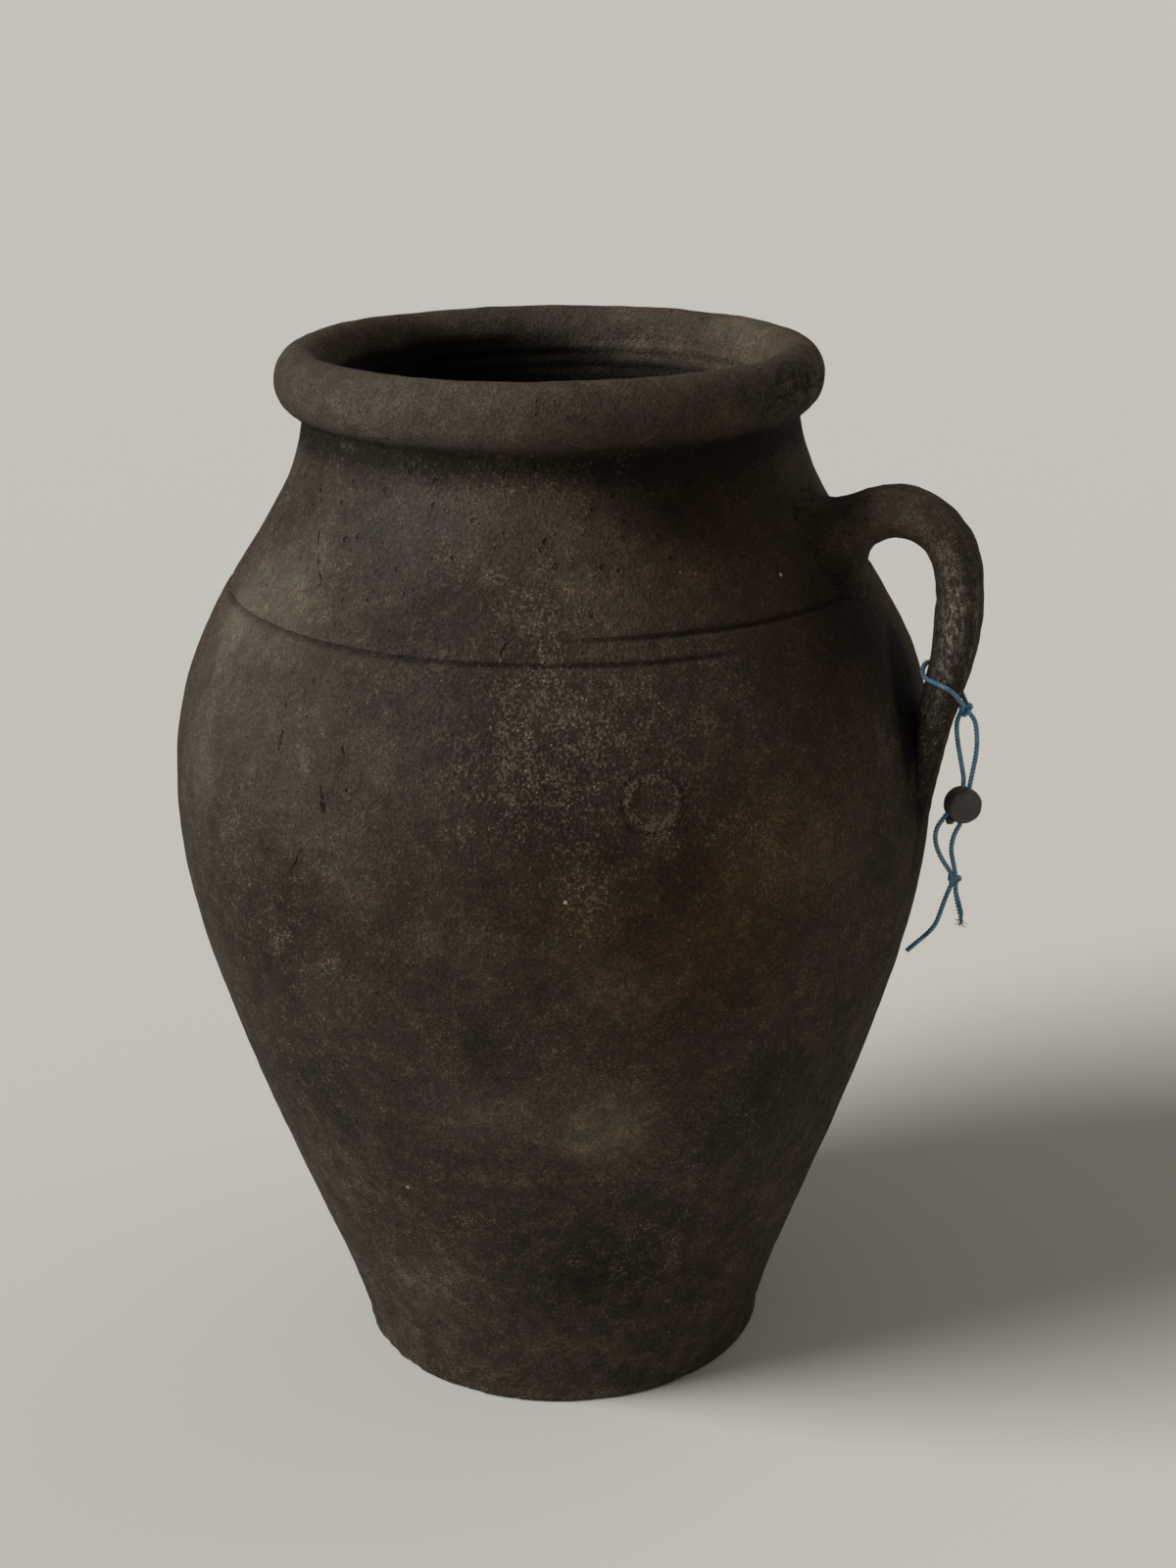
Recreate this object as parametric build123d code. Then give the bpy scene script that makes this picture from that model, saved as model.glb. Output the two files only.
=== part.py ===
"""A one-handled earthenware pithos with a knotted cord and a clay bead on its handle.

Millimetres. The origin is the centre of the foot on the ground, +Z is up, and the handle stands on +X.
The jar is laid out as the potter builds it: a slab, two wall sections, a rolled rim and a luted handle.
"""

import os
from math import atan2, cos, degrees, radians, tan

from build123d import *

# Outline of the jar: outer radii, and the rise from each height that they are measured at to the next
foot_radius = 64.0
foot_flare = 0.22
ankle_radius = 78.6
ankle_height = 46.0
flank_inset = 12.1
flank_rise = 74.0
belly_radius = 116.2
belly_rise = 66.0
shoulder_inset = 6.4
shoulder_rise = 40.0
throat_radius = 84.0
throat_rise = 45.0
neck_radius = 73.4
neck_rise = 29.0
neck_taper = 0.12
flank_height = ankle_height + flank_rise
belly_height = flank_height + belly_rise
shoulder_height = belly_height + shoulder_rise
throat_height = shoulder_height + throat_rise
neck_height = throat_height + neck_rise

# Clay thicknesses
wall = 8.0
floor_thickness = 11.0
floor_corner = 9.0
foot_edge = 1.5
inner_steps = 7

# Rolled rim: an oval coil on the end of the neck
rim_coil_radius = 73.3
rim_coil_width = 15.2
rim_coil_depth = 18.8
rim_lift = 1.2

# Incised spiral line round the shoulder, a little over one turn
groove_start_rise = 22.2
groove_start_height = shoulder_height + groove_start_rise
groove_rise = 6.6
groove_sweep = 393.0
groove_start_angle = -37.0
groove_tool_radius = 1.4
groove_depth = 0.8

# Handle: its middle line in the XZ plane stands off the wall, at depths below its apex
handle_apex_rise = 4.6
handle_apex_height = throat_height + handle_apex_rise
handle_apex_stand = 26.2
handle_start_sink = 9.0
handle_start_drop = 13.6
handle_rise = 0.75
handle_crown_stand = 33.9
handle_crown_drop = 6.0
handle_reach_stand = 28.5
handle_reach_drop = 22.6
handle_fall_stand = 7.1
handle_fall_drop = 56.6
handle_end_sink = 5.0
handle_end_drop = 107.6
handle_end_lean = 0.12

# Handle sections: share of the handle's length, thickness in the XZ plane and width across it
root_thickness, root_width = 17.5, 24.0
neckdown_share = 0.14
crown_share, crown_thickness, crown_width = 0.30, 15.2, 18.4
arch_share, arch_thickness, arch_width = 0.48, 14.2, 17.6
fall_share, fall_thickness, fall_width = 0.66, 10.8, 17.0
flatten_share = 0.84
end_thickness, end_width = 9.0, 20.0

# Luting wads: how far they run along the handle, and how far they spread at the wall
upper_wad_length = 23.0
upper_wad_spread = 7.5
lower_wad_length = 34.0
lower_wad_spread = 5.0
lower_wad_swell = 1.4
wad_lip = 0.8

# Cord, bead and knots
cord_diameter = 1.5
knot_drop = 57.1
knot_stand = 15.24
hitch_diameter = 4.2
bead_diameter = 10.7
bead_thickness = 5.6
bead_edge = 0.8
bead_offset = (-0.1, 0, -29.6)
bead_turn = 25.0
strand_spacing = 1.7
bore_clearance = 0.25
bore_foot_width = 7.8
tail_knot_offset = (-1.6, 0.4, -53.7)
tail_knot_size = (5.0, 4.4, 3.8)

# Routes of the cord from the knot's centre, each point chosen on the line that the cord follows
loop_route = [
    (-0.6, -2.4, 0.7),
    (-2.6, -7.7, 4.1),
    (-6.9, -10.8, 8.1),
    (-11.6, -8.6, 10.8),
    (-13.7, -3.4, 12.1),
    (-13.7, 3.4, 11.9),
    (-11.9, 8.4, 10.3),
    (-7.5, 10.7, 6.5),
    (-3.3, 8.2, 2.8),
    (-0.6, 2.4, 0.5),
]
long_route = [
    (-1.8, -0.1, -2.3),
    (-2.6, 0.0, -11.9),
    (-0.4, -0.1, -21.1),
    (-3.0, -1.2, -36.5),
    (-7.7, -1.7, -41.6),
    (-5.2, -0.8, -47.9),
    (-2.5, 0.2, -51.4),
    (-2.4, 0.2, -56.0),
    (-3.9, -0.4, -64.0),
    (-7.0, -1.5, -69.0),
    (-10.5, -2.9, -72.5),
    (-14.1, -4.1, -76.1),
]
short_route = [
    (1.9, 0.8, -2.3),
    (2.6, 1.6, -11.5),
    (1.1, 0.5, -20.9),
    (-0.5, 0.1, -37.0),
    (-2.8, 0.0, -42.0),
    (-1.6, 0.4, -47.4),
    (-0.8, 0.6, -51.4),
    (-0.7, 0.6, -56.0),
    (0.2, 1.1, -61.7),
    (0.7, 1.3, -67.5),
]

# Share of a cord's shorter run that a bend may take at each of its ends
bend_share = 0.45

# Length of the longest edge of the cutting blocks
block = 1000.0


def outline():
    """Outer line of the wall, from the foot to the end of the neck, in the XZ plane."""
    points = [
        (foot_radius, 0, 0),
        (ankle_radius, 0, ankle_height),
        (belly_radius - flank_inset, 0, flank_height),
        (belly_radius, 0, belly_height),
        (belly_radius - shoulder_inset, 0, shoulder_height),
        (throat_radius, 0, throat_height),
        (neck_radius, 0, neck_height),
    ]
    return Spline(points, tangents=[(foot_flare, 0, 1), (-neck_taper, 0, 1)])


outer_line = outline()


def line_share(height):
    """Share of the outer line's length at which it reaches a height."""
    low, high = 0.0, 1.0
    for _ in range(40):
        middle = (low + high) / 2
        if (outer_line @ middle).Z < height:
            low = middle
        else:
            high = middle
    return low


def wall_radius(height):
    """Outer radius of the jar at a height."""
    return (outer_line @ line_share(height)).X


def inner_point(share):
    """Point one wall thickness inside the outer line, square to it."""
    along = outer_line % share
    return outer_line @ share + Vector(-along.Z, 0, along.X) * wall


def spun(edges):
    """Solid of revolution round the Z axis from the edges of a closed profile in the XZ plane."""
    return revolve(make_face(edges), Axis.Z)


def envelope():
    """The jar's outer form, solid to its axis."""
    return spun([
        outer_line,
        Line((neck_radius, 0, neck_height), (0, 0, neck_height)),
        Line((0, 0, neck_height), (0, 0, 0)),
        Line((0, 0, 0), (foot_radius, 0, 0)),
    ])


def cavity():
    """The hollow inside the walls, open at the neck."""
    first = line_share(floor_thickness)
    shares = [first + (1 - first) * step / inner_steps for step in range(1, inner_steps)]
    floor_point = Vector(inner_point(first).X, 0, floor_thickness)
    bore_point = Vector(neck_radius - wall, 0, neck_height)
    inner_line = Spline([floor_point] + [inner_point(share) for share in shares] + [bore_point])
    hollow = spun([
        inner_line,
        Line(bore_point, (0, 0, neck_height)),
        Line((0, 0, neck_height), (0, 0, floor_thickness)),
        Line((0, 0, floor_thickness), floor_point),
    ])
    return fillet(hollow.edges().group_by(Axis.Z)[0], floor_corner)


def layer(solid, low, high):
    """The part of a solid between two heights."""
    slab = Pos(0, 0, low) * Box(block, block, high - low, align=(Align.CENTER, Align.CENTER, Align.MIN))
    return solid & slab


def groove_cutter():
    """Round tool run along the shoulder on a rising left-hand spiral."""
    end_height = groove_start_height + groove_rise
    start_radius = wall_radius(groove_start_height)
    end_radius = wall_radius(end_height)
    stand_off = groove_tool_radius - groove_depth
    lean = atan2(end_radius - start_radius, groove_rise)
    spiral = Helix(
        pitch=groove_rise * 360 / groove_sweep / cos(lean),
        height=groove_rise,
        radius=start_radius + stand_off,
        cone_angle=degrees(lean),
        lefthand=True,
    )
    tool = sweep(Plane(spiral @ 0, z_dir=spiral % 0) * Circle(groove_tool_radius), path=spiral)
    return Pos(0, 0, groove_start_height) * Rot(0, 0, groove_start_angle) * tool


def rim():
    """Oval coil seated on the neck, filled in flush with the bore of the neck."""
    coil_height = neck_height + rim_lift + rim_coil_depth / 2
    bore_radius = neck_radius - wall
    oval = Pos(rim_coil_radius, coil_height) * Ellipse(rim_coil_width / 2, rim_coil_depth / 2)
    seat = Pos(bore_radius, neck_height) * Rectangle(
        neck_radius - bore_radius, coil_height - neck_height, align=(Align.MIN, Align.MIN)
    )
    section = (oval + seat) - Pos(0, neck_height) * Rectangle(block, block, align=(Align.CENTER, Align.MAX))
    return revolve(Plane.XZ * section, Axis.Z)


def off_wall(drop, stand):
    """Point in the XZ plane below the handle's apex, off the wall by a distance, or sunk in it."""
    height = handle_apex_height - drop
    return Vector(wall_radius(height) + stand, 0, height)


def handle_line():
    """Middle line of the handle, starting and ending inside the wall."""
    return Spline(
        off_wall(handle_start_drop, -handle_start_sink),
        off_wall(0, handle_apex_stand),
        off_wall(handle_crown_drop, handle_crown_stand),
        off_wall(handle_reach_drop, handle_reach_stand),
        off_wall(handle_fall_drop, handle_fall_stand),
        off_wall(handle_end_drop, -handle_end_sink),
        tangents=[(1, 0, handle_rise), (-handle_end_lean, 0, -1)],
        tangent_scalars=[1, 1],
    )


def across(line, share, thickness, width):
    """Oval section square to a line in the XZ plane."""
    return Plane(line @ share, x_dir=(0, 1, 0), z_dir=line % share) * Ellipse(width / 2, thickness / 2)


def handle_blank(line):
    """The whole strap, before it is trimmed to the wall."""
    neckdown_thickness = (root_thickness + crown_thickness) / 2
    neckdown_width = (root_width + crown_width) / 2
    flatten_thickness = (fall_thickness + end_thickness) / 2
    flatten_width = (fall_width + end_width) / 2
    sections = [
        across(line, 0, root_thickness, root_width),
        across(line, neckdown_share, neckdown_thickness, neckdown_width),
        across(line, crown_share, crown_thickness, crown_width),
        across(line, arch_share, arch_thickness, arch_width),
        across(line, fall_share, fall_thickness, fall_width),
        across(line, flatten_share, flatten_thickness, flatten_width),
        across(line, 1, end_thickness, end_width),
    ]
    return loft(sections)


def upper_wad(line):
    """Trumpet of clay from the shoulder out along the handle's root."""
    reach_share = upper_wad_length / line.length
    spread = 2 * upper_wad_spread
    lip = 2 * wad_lip
    sections = [
        across(line, 0, root_thickness + spread, root_width + spread),
        across(line, reach_share / 2, root_thickness + spread / 4, root_width + spread / 4),
        across(line, reach_share, crown_thickness + lip * 2, crown_width + lip * 2),
    ]
    return loft(sections)


def lower_wad(line):
    """Clay smeared round the handle's lower end and down the belly."""
    reach_share = lower_wad_length / line.length
    spread = 2 * lower_wad_spread
    swell = 2 * lower_wad_swell
    lip = 2 * wad_lip
    middle_thickness = (fall_thickness + end_thickness) / 2
    middle_width = (fall_width + end_width) / 2
    sections = [
        across(line, 1 - reach_share, middle_thickness + lip, middle_width + lip),
        across(line, 1 - reach_share / 2, middle_thickness + swell, middle_width + spread),
        across(line, 1, 2 * handle_end_sink + lip, end_width + spread),
    ]
    return loft(sections)


def corner_radii(points):
    """Largest bend at each corner of a cord's route that its two runs allow."""
    radii = []
    for before, here, after in zip(points, points[1:], points[2:]):
        run_in = here - before
        run_out = after - here
        half_turn = radians(run_in.get_angle(run_out)) / 2
        radii.append(bend_share * min(run_in.length, run_out.length) / tan(half_turn))
    return radii


def cord(name, knot, route):
    """Round cord along straight runs joined by tangent arcs, its route set out from the knot."""
    points = [knot + Vector(*offset) for offset in route]
    radii = corner_radii(points)
    path = FilletPolyline(*points, radius=radii)
    tube = sweep(Plane(path @ 0, z_dir=path % 0) * Circle(cord_diameter / 2), path=path)
    ideal = Circle(cord_diameter / 2).area * path.length
    print(name, "length", round(path.length, 1), "volume share", round(tube.volume / ideal, 4))
    print(name, "radii", [round(radius, 1) for radius in radii])
    return tube


def strand_slot(depth, top_width, bottom_width):
    """Flat tapered hole for the two strands, along Z, centred on the origin."""
    thickness = cord_diameter + 2 * bore_clearance
    top = Pos(0, 0, depth / 2) * SlotOverall(top_width, thickness)
    bottom = Pos(0, 0, -depth / 2) * SlotOverall(bottom_width, thickness)
    return loft([bottom, top])


def bead(centre):
    """Clay disc standing on edge, pierced from top to bottom for both strands."""
    disc = Rot(90, 0, 0) * Cylinder(bead_diameter / 2, bead_thickness)
    disc = fillet(disc.edges().filter_by(GeomType.CIRCLE), bead_edge)
    bore_width = strand_spacing + cord_diameter + 2 * bore_clearance
    pierced = disc - strand_slot(bead_diameter, bore_width, bore_foot_width)
    return Pos(*centre) * Rot(0, 0, bead_turn) * pierced


def tail_knot(centre):
    """Overhand knot as a small oval lump round both strands."""
    lump = scale(Sphere(1), by=tuple(size / 2 for size in tail_knot_size))
    return Pos(*centre) * lump


def main():
    os.makedirs("parts", exist_ok=True)
    form = envelope()
    clay = form - cavity()
    strap_line = handle_line()
    strap = handle_blank(strap_line) - form
    upper = upper_wad(strap_line) - form - strap
    lower = lower_wad(strap_line) - form - strap
    knot = off_wall(knot_drop, knot_stand)
    long_strand = cord("cord_long_strand", knot, long_route)
    short_strand = cord("cord_short_strand", knot, short_route)
    base = layer(form, 0, floor_thickness)
    parts = {
        "base_disc": fillet(base.edges().group_by(Axis.Z)[0], foot_edge),
        "lower_body": layer(clay, floor_thickness, belly_height),
        "upper_body": layer(clay, belly_height, neck_height) - groove_cutter(),
        "rolled_rim": rim(),
        "handle": strap,
        "upper_luting": upper,
        "lower_luting": lower,
        "cord_loop": cord("cord_loop", knot, loop_route),
        "hitch_knot": Pos(*knot) * Sphere(hitch_diameter / 2),
        "cord_long_strand": long_strand,
        "cord_short_strand": short_strand,
        "clay_bead": bead(knot + Vector(*bead_offset)),
        "tail_knot": tail_knot(knot + Vector(*tail_knot_offset)) - long_strand - short_strand,
    }
    for name, solid in parts.items():
        export_step(solid, f"parts/{name}.step")


main()
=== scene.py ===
from math import cos, pi, radians, sin

import bmesh
import bpy
import numpy as np
from mathutils import Euler, Matrix, Vector, noise


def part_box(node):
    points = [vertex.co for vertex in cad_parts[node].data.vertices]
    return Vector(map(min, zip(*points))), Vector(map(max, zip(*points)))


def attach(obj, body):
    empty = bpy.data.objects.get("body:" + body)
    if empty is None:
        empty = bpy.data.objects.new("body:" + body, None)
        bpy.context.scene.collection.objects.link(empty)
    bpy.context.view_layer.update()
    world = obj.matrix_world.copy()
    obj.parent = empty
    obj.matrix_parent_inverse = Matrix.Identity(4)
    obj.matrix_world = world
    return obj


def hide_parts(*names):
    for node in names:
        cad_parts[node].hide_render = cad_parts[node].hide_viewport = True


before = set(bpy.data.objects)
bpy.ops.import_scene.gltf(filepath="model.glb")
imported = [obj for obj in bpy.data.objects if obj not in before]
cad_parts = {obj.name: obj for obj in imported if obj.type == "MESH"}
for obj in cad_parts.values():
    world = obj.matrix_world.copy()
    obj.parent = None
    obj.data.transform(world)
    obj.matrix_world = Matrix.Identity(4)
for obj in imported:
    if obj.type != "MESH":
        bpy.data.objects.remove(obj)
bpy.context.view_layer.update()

# Lengths are in millimetres and angles in degrees, unless a comment says otherwise
MM = 0.001

# Camera, worked out from the ellipses of the rim and the foot, in metres and radians
CAMERA_AZIMUTH = radians(20.0)
CAMERA_DISTANCE = 0.69375
CAMERA_HEIGHT = 0.42476
CAMERA_PITCH = radians(19.296)
CAMERA_YAW = radians(0.825)
CAMERA_ROLL = radians(-0.587)

# Lens and sensor, and the side of the jar that the photograph shows
CAMERA_LENS, SENSOR = 54.0, 36.0
PHOTO_SIDE = -70.0

# Lamps: strength, spread, colour, and how far each stands to the right, to the camera and up
TO_RIGHT, TO_CAMERA = Vector((0.94, 0.342, 0.0)), Vector((0.342, -0.94, 0.0))
LAMPS = {
    "window": (3.15, 30.0, (1.0, 1.0, 1.0), (-0.80, 0.25, 0.60)),
    "warm_fill": (0.5, 80.0, (1.0, 0.86, 0.70), (0.80, -0.45, 0.35)),
}
FILL_COLOUR = (0.165, 0.158, 0.145, 1.0)
BACKGROUND_COLOUR = (0.53, 0.52, 0.47, 1.0)
FLOOR_COLOUR = (0.66, 0.65, 0.61, 1.0)
FLOOR_ROUGHNESS = 0.9
FLOOR_HALF_METRES = 60

# Mesh of the jar's wall: columns round it, and the heights, radii and insets of its rows
COLUMNS = 360
FOOT_EDGE, WALL_TOP, INNER_LOW = 1.6, 300.0, 16.0
UNDERSIDE_RADII = (8, 20, 32, 44, 54)
FOOT_ROUND = ((2.6, 0.0), (1.4, 0.0), (0.9, 0.15), (0.35, 0.6), (0.05, 1.2))
GROOVE_LOW, GROOVE_HIGH = 244.0, 259.0
OUTSIDE_HEIGHTS = np.concatenate([
    np.arange(2.2, GROOVE_LOW, 2.25),
    np.arange(GROOVE_LOW, GROOVE_HIGH, 0.48),
    np.arange(GROOVE_HIGH, 296.0, 2.0),
    [296.5, 298.0, 299.3],
])
RIM_SEAM_INSET, RIM_SEAM_HEIGHT = 0.15, 300.6
RIM_HALF_WIDTH, RIM_HALF_DEPTH = 7.6, 9.4
RIM_ARC = (-80, 178, 28)
BORE_TOP = 299.0
BORE_HEIGHTS = np.arange(309.6, 299.6, -0.8)
INSIDE_HEIGHTS = np.concatenate([np.arange(BORE_TOP, 240.0, -2.0), np.arange(240.0, 22.0, -10.0)])
BOTTOM_HEIGHT = 11.0
BOTTOM_ROUND = ((3.0, 15.5), (7.0, 12.2), (12.0, BOTTOM_HEIGHT))
BOTTOM_RADII = (40, 28, 16, 6)

# Layers of smooth noise: height or strength, size of the lumps and seed of each
LAYERS = {
    "hand": ((0.5, 52.0, 1), (0.28, 15.0, 2), (0.18, 5.5, 3)),
    "handle": ((0.30, 18.0, 11), (0.26, 6.0, 12), (0.22, 2.8, 13)),
    "tone": ((0.65, 46.0, 21), (0.4, 19.0, 22)),
    "warm": ((0.8, 58.0, 23),),
    "grit": ((0.8, 36.0, 24),),
    "fine_grit": ((0.35, 12.0, 25),),
    "pitting": ((0.3, 25.0, 26),),
    "chips": ((1.0, 9.0, 31), (0.6, 3.2, 32)),
    "foot_rub": ((1.0, 9.0, 31),),
    "foot_line": ((1.2, 30.0, 33),),
    "scar": ((0.9, 4.0, 34),),
    "brink": ((2.0, 14.0, 35),),
    "flake": ((0.8, 22.0, 36),),
    "ragged": ((1.0, 4.2, 37),),
    "bead": ((0.12, 2.6, 41), (0.05, 0.9, 42)),
    "crumb": ((0.45, 0.9, 43),),
}

# Incised spiral, as in the solid, and the half widths between which its painted shade line fades
GROOVE_START_ANGLE = -37.0
GROOVE_START = 248.2
GROOVE_RISE = 6.6
GROOVE_SWEEP = 393.0
GROOVE_DEPTH = 0.95
GROOVE_HALF_WIDTH = 0.82
GROOVE_SHARPNESS = 1.2
GROOVE_FADE = 16.0
GROOVE_LINE = (0.95, 0.30)
GROOVE_TAPER = 7.0

# Throwing rings inside the neck, wear of the foot, and torn clay at the rim's right end
RING_HEIGHT, RING_PITCH = 0.3, 4.4
RINGS_LOW, RINGS_HIGH = 235.0, 311.0
FOOT_WEAR_TOP = 30.0
FOOT_STIFFENS, FOOT_LEAST = 6.0, 0.15
CHIP_DEPTH, CHIP_HEIGHT, CHIP_LIMIT = 1.5, 2.6, 0.22
FOOT_LINE, FOOT_LINE_DEPTH, FOOT_LINE_WIDTH = 9.0, 0.3, 1.3
TEAR_ANGLE, TEAR_HEIGHT = -4.0, 312.5
TEAR_TURN, TEAR_REACH, TEAR_DEPTH = 22.0, 7.0, 2.2
TEAR_STRETCH = (1.0, 1.0, 0.6)

# Soot in the mouth with painted shade, blackest on the side far from the camera, where the light
# doesn't reach
DARKEST_SIDE = 150.0
DARK_BRINK, DARK_BRINK_TILT = 305.5, 9.0
DARK_FADE, DARK_FADE_TILT = 7.5, 3.5
NECK_LOW, NECK_REACH = 284.0, 14.0
BELLY_SOOT_AND_SHADE, NECK_SOOT_AND_SHADE, NECK_SHADE_TILT = 0.30, 0.65, 0.35

# Handle: middle line in the XZ plane, and sections as share, half thickness and half width
HANDLE_LINE = [
    (80.6, 262.0), (87.9, 267.7), (95.6, 272.8), (104.3, 275.7), (113.3, 273.8), (120.1, 267.8),
    (123.3, 259.1), (124.0, 249.9), (123.4, 240.7), (122.0, 231.6), (120.0, 222.5), (118.0, 213.5),
    (116.1, 204.5), (114.3, 195.4), (112.6, 186.3), (111.2, 177.2), (110.0, 168.0),
]
HANDLE_SECTIONS = [
    (0.0, 8.75, 12.0), (0.14, 7.7, 10.6), (0.30, 6.45, 9.2), (0.48, 6.8, 8.8),
    (0.66, 5.4, 8.5), (0.84, 4.9, 9.4), (1.0, 4.4, 10.6),
]
HANDLE_SIDES = 72
HANDLE_SWING = np.arange(HANDLE_SIDES) * 2 * pi / HANDLE_SIDES
HANDLE_STEP = 1.2
HANDLE_SUNK = 3.0
HANDLE_POWER = 2 / 2.25

# Ribs along the handle: place round the section, share that each stands out, and width in radians
HANDLE_RIB = 328.0
HANDLE_RIBS = ((HANDLE_RIB, 0.09, 0.12), (62.0, 0.06, 0.16))

# Flare of the handle on to the shoulder, with its spread on the outer side, inner side and across
FLARE_UP = 11.5
FLARE_RINGS = 14
FLARE_OUTER, FLARE_INNER, FLARE_ACROSS = 0.85, 1.05, 0.9

# Smear of the handle's lower end on to the belly
LOWER_HALF = 235.0
SMEAR_TOP, SMEAR_REACH = 230.0, 15.0
SMEAR_SOFT, SMEAR_SUNK = 0.8, 0.35

# Part of the handle that hands have rubbed, with painted glints on it and a painted sheen round it:
# its height, the reach of rub and glints and of the paler painted sheen
RUB_AND_SHEEN_HEIGHT, RUB_AND_GLINT_REACH, PAINTED_SHEEN_REACH = 243.0, 21.0, 22.0
RUB_AND_SHEEN_MIN_X = 108.0

# Soft patches on the clay: angle round the jar, height, radius and strength of each
# Tone patches, partly the clay's own mottling and partly painted light and shade: paler on the lit
# left side, at the rim's right end and inside the right of the mouth, darker under the rim, on the
# right shoulder and in the crease beside the handle's lower end
TONE_PATCHES = [
    (-136, 250, 20, 1.20), (-120, 262, 16, 0.55), (-134, 208, 18, 0.80), (-103, 200, 11, 0.15),
    (-117, 226, 36, 0.75), (-105, 309, 40, 0.45), (-88, 284, 24, 0.50), (60, 309, 30, 0.50),
    (-20, 246, 28, -0.60), (-46, 290, 13, -0.70), (-20, 290, 15, -0.90), (-62, 296, 12, -0.40),
    (-109, 184, 14, -0.55), (-117, 164, 17, -0.40), (-112, 116, 15, -0.50), (-81, 143, 15, -0.40),
    (-84, 120, 17, 0.70), (-63, 115, 17, 1.50), (-104, 43, 17, 0.40), (-65, 52, 20, -0.55),
    (-35, 114, 18, -0.40), (-54, 195, 11, -0.65), (-56, 207, 5, 0.30), (-71, 216, 20, -0.55),
    (-69, 236, 14, 0.25), (-59, 265, 18, 0.45), (-87, 260, 14, -0.25), (-91, 221, 14, 0.50),
    (-100, 198, 14, 0.25), (-39, 286, 19, -1.15), (-12, 250, 16, -1.0), (-87, 175, 4, 0.50),
    (-61, 162, 16, 0.35), (-121, 309, 16, 0.15), (-71, 287, 16, 0.30), (-38, 190, 19, 0.50),
    (-6, 216, 10, -1.7), (-7, 196, 9, -1.1), (4, 226, 8, -1.3), (-24, 152, 16, 0.25),
    (12, 312, 16, 0.60),
]
# Warm patches, partly the clay's own colour and partly painted light: warmer where shade falls on the
# right shoulder and under the rim, cooler on the lit left side and inside the right of the mouth
WARM_PATCHES = [
    (-42, 194, 26, 1.00), (-53, 166, 25, 1.00), (-69, 189, 19, 0.70), (-57, 264, 16, 0.40),
    (-103, 282, 25, -0.60), (-90, 239, 22, -0.50), (-112, 116, 18, -0.40), (-34, 110, 19, -0.30),
    (-63, 115, 17, 0.40), (-136, 247, 22, -0.35), (-20, 205, 34, 0.20), (-38, 284, 24, 0.70),
    (-88, 309, 26, 0.15), (-100, 150, 22, 0.20), (-20, 246, 30, 0.60), (-120, 224, 40, -0.30),
    (60, 309, 30, -0.30),
]
GRIT_PATCHES = [
    (-69, 236, 19, 0.90), (-79, 223, 15, 0.60), (-57, 227, 16, 0.50), (-66, 195, 13, 0.60),
    (-41, 199, 16, 0.50), (-63, 119, 19, 0.80), (-124, 198, 14, 0.50), (-110, 168, 14, 0.45),
    (-92, 276, 6, 0.60), (-74, 258, 12, 0.70), (-48, 256, 11, 0.30), (-103, 48, 18, 0.40),
    (-49, 68, 21, 0.40), (-56, 207, 5, 1.00), (-32, 287, 30, -0.90), (-12, 252, 28, -0.80),
]
# Painted shade in the crease between the wall and the handle's lower end: angle round the jar,
# height, radius and strength of each patch
CREASE_SHADE_PATCHES = [
    (1.5, 236, 6, 1.3), (-1, 231, 6, 1.6), (-3, 225, 7, 2.0), (-4, 219, 7, 2.0),
    (-5.5, 213, 6, 1.5), (-7, 207, 5, 1.0), (-8, 201, 4, 0.6),
]

# Hairline cracks, each from and to an angle and a height, and the pale scratch among them
CRACKS = [
    ((-77.0, 258.5), (-78.5, 248.5)), ((-129.0, 287.0), (-116.0, 262.0)),
    ((-114.0, 232.0), (-112.0, 221.0)), ((-101.0, 225.5), (-99.0, 211.5)),
    ((-104.5, 217.0), (-103.5, 207.0)), ((-109.5, 189.0), (-107.5, 196.5)),
    ((118.0, 252.0), (126.0, 226.0)), ((36.0, 150.0), (31.0, 127.0)),
    ((172.0, 283.0), (166.0, 264.0)),
]
SCRATCH = ((-47.0, 239.0), (-49.0, 218.0))

# Round scar on the belly
SCAR = (-57.0, 215.0)
SCAR_RADIUS, SCAR_WIDTH = 6.6, 1.5
SCAR_HEIGHT, SCAR_WHOLE = 0.55, 0.65

# Cord routes, from the knot's centre, with the strands' lengths in metres
KNOT = Vector((127.5, 0.0, 218.5))
CORD_DIAMETER = 1.5
LOOP_ROUTE = [
    (-0.9, -1.8, 1.2), (-1.9, -5.6, 4.6), (-3.6, -9.6, 8.2), (-7.2, -10.0, 9.7),
    (-11.6, -8.9, 11.0), (-13.0, -3.6, 12.2), (-13.0, 3.6, 12.2), (-11.6, 8.6, 10.4),
    (-7.5, 10.8, 6.6), (-3.3, 8.2, 2.8), (-0.6, 2.4, 0.5),
]
LONG_ROUTE = [
    (-1.2, -0.4, -0.4), (-2.9, -1.0, -2.6), (-2.5, -0.9, -9.0), (-1.0, -0.4, -16.5),
    (0.3, 0.1, -23.5), (-2.2, -0.9, -29.0), (-5.0, -1.8, -33.4), (-7.3, -2.6, -37.0),
    (-7.4, -2.6, -41.5), (-5.3, -1.9, -46.8), (-2.6, -0.7, -51.0), (-1.9, -0.4, -54.0),
    (-3.6, -1.2, -58.5), (-5.0, -1.8, -63.6), (-6.3, -2.3, -68.0), (-9.2, -3.3, -71.4),
    (-11.4, -4.1, -73.4), (-14.1, -5.1, -76.1),
]
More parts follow.
